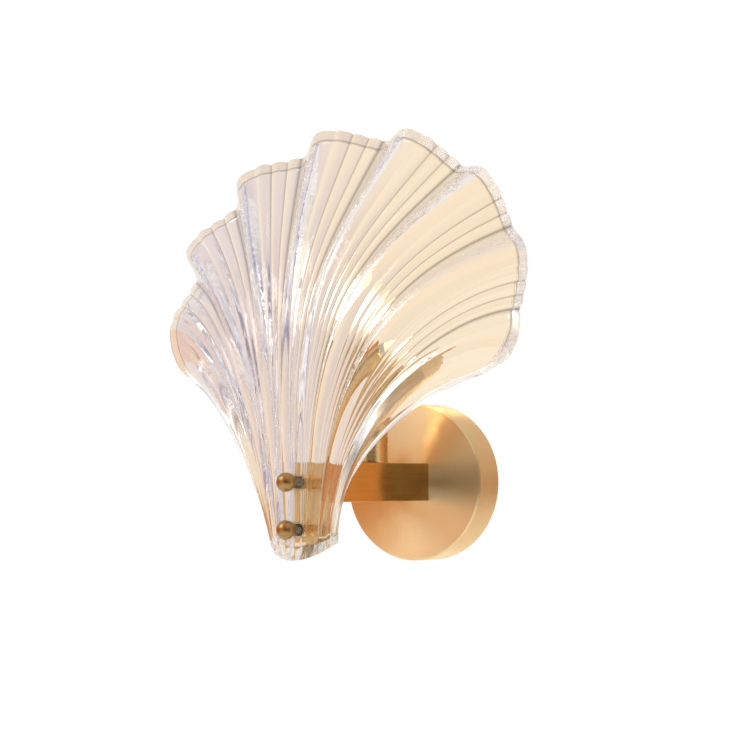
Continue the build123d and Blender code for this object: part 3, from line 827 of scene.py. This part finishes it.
    def _masks(
        self, column: Columns, place: Array, swell: Array, front: Array
    ) -> dict[str, Array]:
        """Masks over the front's points: marks of the flutes, the rim, the corner and the end. The
        flute marks and the corner carry painted reflection and painted shade lines.
        """
        inside = (swell == 1.0).astype(float)
        masks = {}
        for name, slope, start in self.fades:
            fade = np.clip(place * slope - start, 0.0, 1.0)
            masks[name] = getattr(column, name)[:, None] * fade * inside
        edges = [front[:, -1:], front[:1], front[-1:]]
        near = np.min([np.linalg.norm(front - edge, axis=-1) for edge in edges], axis=0)
        flat = 1.0 - self.edge_radius / (self.thickness / 2)
        off_middle = np.abs(2.0 * swell - 1.0 - flat) / (1.0 - flat)
        masks["rim"] = np.clip((self.rim_band - near) / self.rim_fade, 0.0, 1.0)
        # The corner mask carries a painted dark shade line along the edge's back corner.
        masks["corner"] = np.clip(1.0 - off_middle, 0.0, 1.0)
        masks["end"] = (swell < 1.0).astype(float)
        return masks

    def surfaces(self) -> tuple[Array, Array, dict[str, Array]]:
        """Front and back points on one grid of columns by rows.

        Both faces are the plain shell moved along its normal by the flutes, which are deeper on
        the front. The reeds and the soft crown of each wide band are on the front alone, and the
        bead is on the back. Round the edges both faces close in on the shell's middle.

        Returns:
            Front points, back points, both (columns, rows, 3) in millimetres, and the masks.
        """
        column = self.columns()
        poles, normals = self._poles(column.fans)
        place, end, end_inset, end_swell = self._rows(poles, column)
        lift = np.outer(column.height, self.front_steps)
        lift = lift + np.outer(column.reed, self.reed_rises) + np.outer(column.bulge, self.bulges)
        front = self._along_ribs(poles + normals * lift[..., None], place)
        back = self._back(column, place)
        step = 1e-3 * column.side[:, None]
        across = self._along_ribs(poles - self._poles(column.fans - step)[0], place)
        across /= np.maximum(np.linalg.norm(across, axis=-1, keepdims=True), 1e-9)
        at_foot, at_rim = poles[:, 0] - poles[:, 1], poles[:, 3] - poles[:, 2]
        along = np.where(end[None, :, None] > 0, at_rim[:, None], at_foot[:, None])
        along /= np.linalg.norm(along, axis=-1, keepdims=True)
        shift = across * column.inset[:, None, None] + along * end_inset[None, :, None]
        swell = np.minimum(column.swell[:, None], end_swell[None, :])
        middle, half = (front + back) / 2 - shift, (front - back) / 2 * swell[..., None]
        masks = self._masks(column, place, swell, middle + half)
        return middle + half, middle - half, masks

    def _cutter(self, height: float) -> Object:
        """A closed turned spool, wide at both seats and narrow in the hole, about a stud."""
        front, back, sides = self.seat_front, self.seat_back, self.cut_sides
        seat, hole = self.seat_radius, self.hole_radius
        outs = np.array([self.cut_front, front, front, back, back, self.cut_back])
        radii = np.array([seat, seat, hole, hole, seat, seat])[:, None]
        angle = np.linspace(0.0, 2 * math.pi, sides, endpoint=False)
        rings = np.stack([
            radii * np.cos(angle),
            np.broadcast_to(-outs[:, None], (len(outs), sides)),
            height + radii * np.sin(angle),
        ], axis=-1).reshape(-1, 3)
        ends = np.array([[0.0, -outs[0], height], [0.0, -outs[-1], height]])
        first, last, ring = len(rings), len(rings) + 1, len(rings) - sides
        faces = [list(quad) for quad in grid_faces(len(outs), sides, wrap=True)]
        faces += [[first, (i + 1) % sides, i] for i in range(sides)]
        faces += [[last, ring + i, ring + (i + 1) % sides] for i in range(sides)]
        return mesh_object("cutter", (np.vstack([rings, ends]) * MM).tolist(), faces)

    def _drill(self, shell: Object) -> None:
        """Cuts both stud holes and their seats, then clears the cutters away."""
        cutters = [self._cutter(height) for height in self.stud_heights]
        for cutter in cutters:
            hole = shell.modifiers.new("hole", "BOOLEAN")
            hole.operation, hole.solver, hole.object = "DIFFERENCE", "EXACT", cutter
        evaluated = shell.evaluated_get(bpy.context.evaluated_depsgraph_get())
        drilled = bpy.data.meshes.new_from_object(evaluated)
        shell.modifiers.clear()
        shell.data = drilled
        for cutter in cutters:
            bpy.data.objects.remove(cutter)

    def build(self, effects: Effects) -> None:
        """Makes the shell as one closed smooth mesh, drills it and dresses it."""
        front, back, masks = self.surfaces()
        columns, rows = front.shape[:2]
        count = columns * rows
        inner = np.zeros((columns, rows), dtype=bool)
        inner[1:-1, 1:-1] = True
        numbers = np.arange(count).reshape(columns, rows)
        numbers[inner] = count + np.arange(int(inner.sum()))
        points = np.vstack([front.reshape(-1, 3), back[inner]]) * MM
        quads = grid_faces(columns, rows)
        faces = np.vstack([quads[:, ::-1], numbers.reshape(-1)[quads]])
        shell = mesh_object("fluted_glass", points.tolist(), faces.tolist(), smooth=True)
        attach(shell, "sconce")
        for name, mask in masks.items():
            attribute = shell.data.attributes.new(name, "FLOAT", "POINT")
            # The back carries only the painted corner shade line and the ground end.
            back_mask = mask[inner] * float(name in ("corner", "end"))
            values = np.concatenate([mask.reshape(-1), back_mask]).astype(np.float32)
            attribute.data.foreach_set("value", values)
        shell.data.materials.append(CastGlass().build(effects))
        self._drill(shell)
        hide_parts("glass_shell")
        LOG.info("fluted_glass made with %d faces", len(faces))


# ----metal, lamp and wiring
@dataclass
class BrassWork:
    """Rose, arm, plate, lampholder tube, studs, the two ball nuts and the hidden brass."""

    rose: tuple[Colour, Colour] = ((0.790, 0.625, 0.375), (0.720, 0.490, 0.220))
    satin: tuple[Colour, Colour] = ((0.720, 0.490, 0.220), (0.500, 0.290, 0.090))
    aged: tuple[Colour, Colour] = ((0.400, 0.240, 0.090), (0.110, 0.060, 0.020))
    raw: tuple[Colour, Colour] = ((0.760, 0.560, 0.270), (0.500, 0.330, 0.120))
    lamp_out: float = 0.076
    deep: float = 0.00003
    faint: float = 0.000005
    polished: float = 0.000004

    def build(self, effects: Effects) -> None:
        """Dresses each piece with the grain that its making leaves."""
        satin, rings, polished = self.satin, Grain.ROUND_Y, self.polished
        rose = Brass("rose_brass", *self.rose, 0.46, rings, 0.92, self.deep)
        arm = Brass("arm_brass", *satin, 0.14, Grain.ALONG_Y, depth=self.faint)
        plate = Brass("plate_brass", *satin, 0.24, Grain.ALONG_Z)
        tube = Brass("tube_brass", *satin, 0.30, Grain.ROUND_Z, 0.0, polished, self.lamp_out)
        nut = Brass("ball_brass", *self.aged, 0.34, rings, depth=polished)
        dress(["rose"], rose.build(effects))
        dress(["arm_tube"], arm.build(effects))
        dress(["front_plate"], plate.build(effects))
        dress(["lampholder_tube"], tube.build(effects))
        dress(["upper_ball_nut", "lower_ball_nut"], nut.build(effects))
        dress([
            "upper_stud", "lower_stud", "arm_nipple", "arm_nut", "arm_rear_plug", "arm_front_plug",
            "lampholder_boss", "lampholder_nipple", "tube_nut", "contact_left", "contact_right",
            "terminal_clamp_screws", "rose_grub_screw_top", "rose_grub_screw_bottom",
        ], Brass("turned_brass", *self.raw, 0.28, rings).build(effects))


@dataclass
class LampUnit:
    """The plug-in lamp and its ceramic holder."""

    filament_height: float = 0.1065
    strength: float = 130.0
    glass_light: Colour = (1.0, 0.76, 0.43)
    wire_light: Colour = (1.0, 0.82, 0.52)

    def build(self, effects: Effects) -> None:
        """Dresses the lamp as lit, and the ceramic and steel that hold it."""
        glow = LampGlow("lit_lamp_glass", self.glass_light, self.strength, self.filament_height)
        wire = LampGlow("lit_filament", self.wire_light, self.strength, self.filament_height)
        dress(["lamp_capsule"], glow.build(effects))
        dress(["lamp_filament"], wire.build(effects))
        ceramic = Plain("steatite", (0.86, 0.84, 0.79), (0.70, 0.67, 0.60), 0.35, coat=0.3)
        dress(["ceramic_holder", "lamp_base"], ceramic.build(effects))
        pins = Plain("pin_wire", (0.62, 0.62, 0.62), (0.40, 0.40, 0.41), 0.3, metallic=1.0)
        dress(["lamp_pin_left", "lamp_pin_right"], pins.build(effects))


class HiddenWork:
    """Bracket, strap, soft washers, terminal block and leads."""

    def build(self, effects: Effects) -> None:
        """Dresses the pieces inside the rose, the arm and the tube."""
        zinc = Plain("zinc_plate", (0.62, 0.63, 0.64), (0.42, 0.43, 0.45), 0.34, metallic=1.0)
        dress([
            "wall_bracket", "holder_strap", "strap_screw_rear", "strap_screw_front",
            "terminal_block_screw", "earth_ring", "earth_screw",
        ], zinc.build(effects))
        soft = Plain("clear_silicone", (0.93, 0.91, 0.87), (0.85, 0.82, 0.78), 0.12, clear=0.9)
        soft_names = ["upper_bush", "lower_bush", "upper_front_washer", "lower_front_washer"]
        dress(soft_names, soft.build(effects))
        block = Plain("block_plastic", (0.80, 0.80, 0.76), (0.66, 0.65, 0.60), 0.5)
        dress(["terminal_block"], block.build(effects))
        sleeves = {
            "live_lead": ((0.16, 0.07, 0.03), (0.08, 0.03, 0.01)),
            "neutral_lead": ((0.03, 0.09, 0.32), (0.02, 0.05, 0.18)),
            "earth_lead": ((0.20, 0.36, 0.04), (0.55, 0.48, 0.03)),
        }
        for name, (colour, dark) in sleeves.items():
            dress([name], Plain(name + "_sleeve", colour, dark, 0.5).build(effects))


# ----studio
@dataclass(frozen=True)
class Card:
    """A coloured card, as a studio uses them, which only gloss and glass see.

    It stands upright, square to the line from the model's origin to its middle or to the front.
    Its colour may turn to a second one towards the right, as a wall does on the side that a lamp
    lights, or have upright stripes of another, as a window with blinds has.
    """

    name: str
    middle: Point
    width: float
    tall: float
    colour: Colour
    right_colour: Colour | None = None
    stripes: Colour | None = None
    faces_front: bool = False
    gloss: bool = True
    glass: bool = True
    turn_edges: Pair = (-0.24, -0.04)
    stripe_scale: float = 14.0
    stripe_edges: Pair = (0.42, 0.58)

    def build(self) -> None:
        """Makes the card as one square of emission, hidden from the camera, from diffuse light and
        from shadows.
        """
        middle = Vector(self.middle)
        out = Vector((middle.x, middle.y, 0.0)).normalized()
        if self.faces_front:
            out = Vector((0.0, 1.0, 0.0))
        side = Vector((-out.y, out.x, 0.0)) * (self.width / 2)
        up = Vector((0.0, 0.0, self.tall / 2))
        ends = [middle + side * a + up * b for a, b in ((-1, -1), (1, -1), (1, 1), (-1, 1))]
        card = mesh_object(self.name, [tuple(end) for end in ends], [[0, 1, 2, 3]])
        material, tree, _ = blank(self.name + "_paint")
        colour = rgba(self.colour)
        if self.right_colour:
            turn = tree.ramp(tree.xyz()[0], *self.turn_edges)
            colour = tree.mix(turn, self.colour, self.right_colour)
        if self.stripes:
            wave = tree.noise(tree.scaled_point((1.0, 1.0, 0.1)), self.stripe_scale, 2.0)
            colour = tree.mix(tree.ramp(wave, *self.stripe_edges), self.colour, self.stripes)
        paint = tree.add("Emission", {"Color": colour, "Strength": 1.0})
        tree.fill(tree.tree.nodes["Material Output"], {0: paint.outputs[0]})
        card.data.materials.append(material)
        card.visible_camera = card.visible_diffuse = card.visible_shadow = False
        card.visible_glossy, card.visible_transmission = self.gloss, self.glass


AMBER = (1.00, 0.34, 0.04)
CARDS = (
    Card("lens_card", (1.02, -1.61, 0.05), 1.7, 1.5, (0.050, 0.015, 0.003), glass=False),
    Card("right_card", (0.95, -0.35, 0.05), 0.45, 1.4, (0.10, 0.055, 0.020)),
    Card(
        "left_card", (-0.85, -0.15, 0.10), 1.20, 1.4, (0.30, 0.28, 0.34),
        stripes=(0.80, 0.78, 0.90), gloss=False,
    ),
    Card("left_amber", (-0.80, -0.35, 0.0), 1.00, 0.56, AMBER, glass=False),
    Card("front_amber", (-0.42, -1.16, 0.0), 0.95, 0.50, AMBER, glass=False),
    Card(
        "back_card", (0.55, 0.42, 0.0), 1.30, 1.1, (0.76, 0.37, 0.13),
        faces_front=True, glass=False,
    ),
    Card("warm_card", (0.30, -0.95, 0.75), 0.90, 0.8, (1.05, 0.38, 0.05), glass=False),
    Card("low_amber", (-0.85, -0.45, -0.55), 0.90, 0.6, (0.90, 0.50, 0.18), glass=False),
    Card(
        "grey_card", (0.55, 0.25, 0.0), 0.60, 0.9, (0.42, 0.40, 0.48),
        stripes=(0.80, 0.78, 0.84), gloss=False,
    ),
    Card(
        "lit_wall", (-0.09, 0.06, 0.09), 0.62, 0.54, (0.78, 0.66, 0.62), (0.96, 0.82, 0.63),
        faces_front=True, gloss=False,
    ),
)
# Soft lamps: name, place, size, power and colour.
SOFT_LAMPS = (
    ("key", (-0.9, -1.3, 1.2), 1.0, 9.0, (1.0, 0.98, 0.95)),
    ("side", (1.4, -0.5, 0.6), 0.8, 3.0, (1.0, 0.95, 0.88)),
)


@dataclass
class Studio:
    """Camera, pale floor, white surround, soft lamps and the cards that give glass its edges."""

    camera_place: Point = (0.7625, -1.2200, 0.0)
    camera_target: Point = (-0.0203, -0.0359, 0.0686)
    lens: float = 106.4
    sensor: float = 36.0
    lamp_target: Point = (0.0, -0.05, 0.05)
    white: Colour = (1.0, 1.0, 1.0)
    fill_colour: Colour = (1.0, 0.985, 0.96)
    fill: float = 0.75
    floor_colour: Colour = (0.9, 0.9, 0.9)
    floor_roughness: float = 0.9
    floor_glow: float = 0.45
    floor_height: float = -0.45
    floor_radius: float = 4.0
    floor_sides: int = 96
    glass_bounces: int = 24

    @staticmethod
    def _aim(thing: Object, place: Point, target: Point) -> None:
        """Places an object and turns its -Z towards a target."""
        thing.location = place
        way = Vector(target) - Vector(place)
        thing.rotation_euler = way.to_track_quat("-Z", "Y").to_euler()

    def camera(self) -> None:
        """Sets the camera to the photograph's view, with no shift or depth of field."""
        data = bpy.data.cameras.new("camera")
        data.lens, data.sensor_width, data.clip_start = self.lens, self.sensor, 0.01
        camera = new_object("camera", data)
        self._aim(camera, self.camera_place, self.camera_target)
        bpy.context.scene.camera = camera

    def world(self) -> None:
        """Lights softly, and shows plain white to the camera, to gloss and through glass."""
        world = bpy.data.worlds.new("white_surround")
        bpy.context.scene.world = world
        world.use_nodes = True
        tree = Tree(world.node_tree)
        world.node_tree.nodes.clear()
        light = tree.add("Background", {"Color": rgba(self.fill_colour), "Strength": self.fill})
        white = tree.add("Background", {"Color": rgba(self.white), "Strength": 1.0})
        values = {0: tree.seen(), 1: light.outputs[0], 2: white.outputs[0]}
        tree.add("OutputWorld", {0: tree.add("MixShader", values).outputs[0]})

    def floor(self) -> None:
        """A wide pale floor well below the sconce: white to the camera, yet it takes shadows."""
        angle = np.linspace(0.0, 2 * math.pi, self.floor_sides, endpoint=False)
        height = np.full(self.floor_sides, self.floor_height)
        radius = self.floor_radius
        ring = np.stack([radius * np.cos(angle), radius * np.sin(angle), height], axis=-1)
        floor = mesh_object("floor", ring.tolist(), [list(range(self.floor_sides))])
        material, tree, shader = blank("pale_floor")
        paint = {"Base Color": rgba(self.floor_colour), "Roughness": self.floor_roughness}
        tree.fill(shader, paint)
        white = tree.add("Emission", {"Color": rgba(self.white), "Strength": self.floor_glow})
        both = tree.add("AddShader", {0: shader.outputs[0], 1: white.outputs[0]})
        values = {0: tree.seen(), 1: shader.outputs[0], 2: both.outputs[0]}
        mixed = tree.add("MixShader", values).outputs[0]
        tree.fill(tree.tree.nodes["Material Output"], {0: mixed})
        floor.data.materials.append(material)

    def soft_lamps(self) -> None:
        """Large soft lamps, each aimed at the sconce."""
        for name, place, size, power, colour in SOFT_LAMPS:
            data = bpy.data.lights.new(name, "AREA")
            data.shape, data.size, data.energy, data.color = "DISK", size, power, colour
            self._aim(new_object(name, data), place, self.lamp_target)

    def build(self) -> None:
        """Sets up the whole studio, with enough bounces for light to leave thick glass."""
        bpy.context.scene.view_settings.view_transform = "Standard"
        cycles = bpy.context.scene.cycles
        cycles.max_bounces = self.glass_bounces
        cycles.glossy_bounces = cycles.transmission_bounces = self.glass_bounces
        self.camera()
        self.world()
        self.floor()
        self.soft_lamps()
        for card in CARDS:
            card.build()


def main() -> None:
    """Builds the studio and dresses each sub-assembly."""
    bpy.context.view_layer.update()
    effects = Effects()
    Studio().build()
    for assembly in (GlassShell(), BrassWork(), LampUnit(), HiddenWork()):
        assembly.build(effects)
        LOG.info("%s done", type(assembly).__name__)


if __name__ == "__main__":
    main()
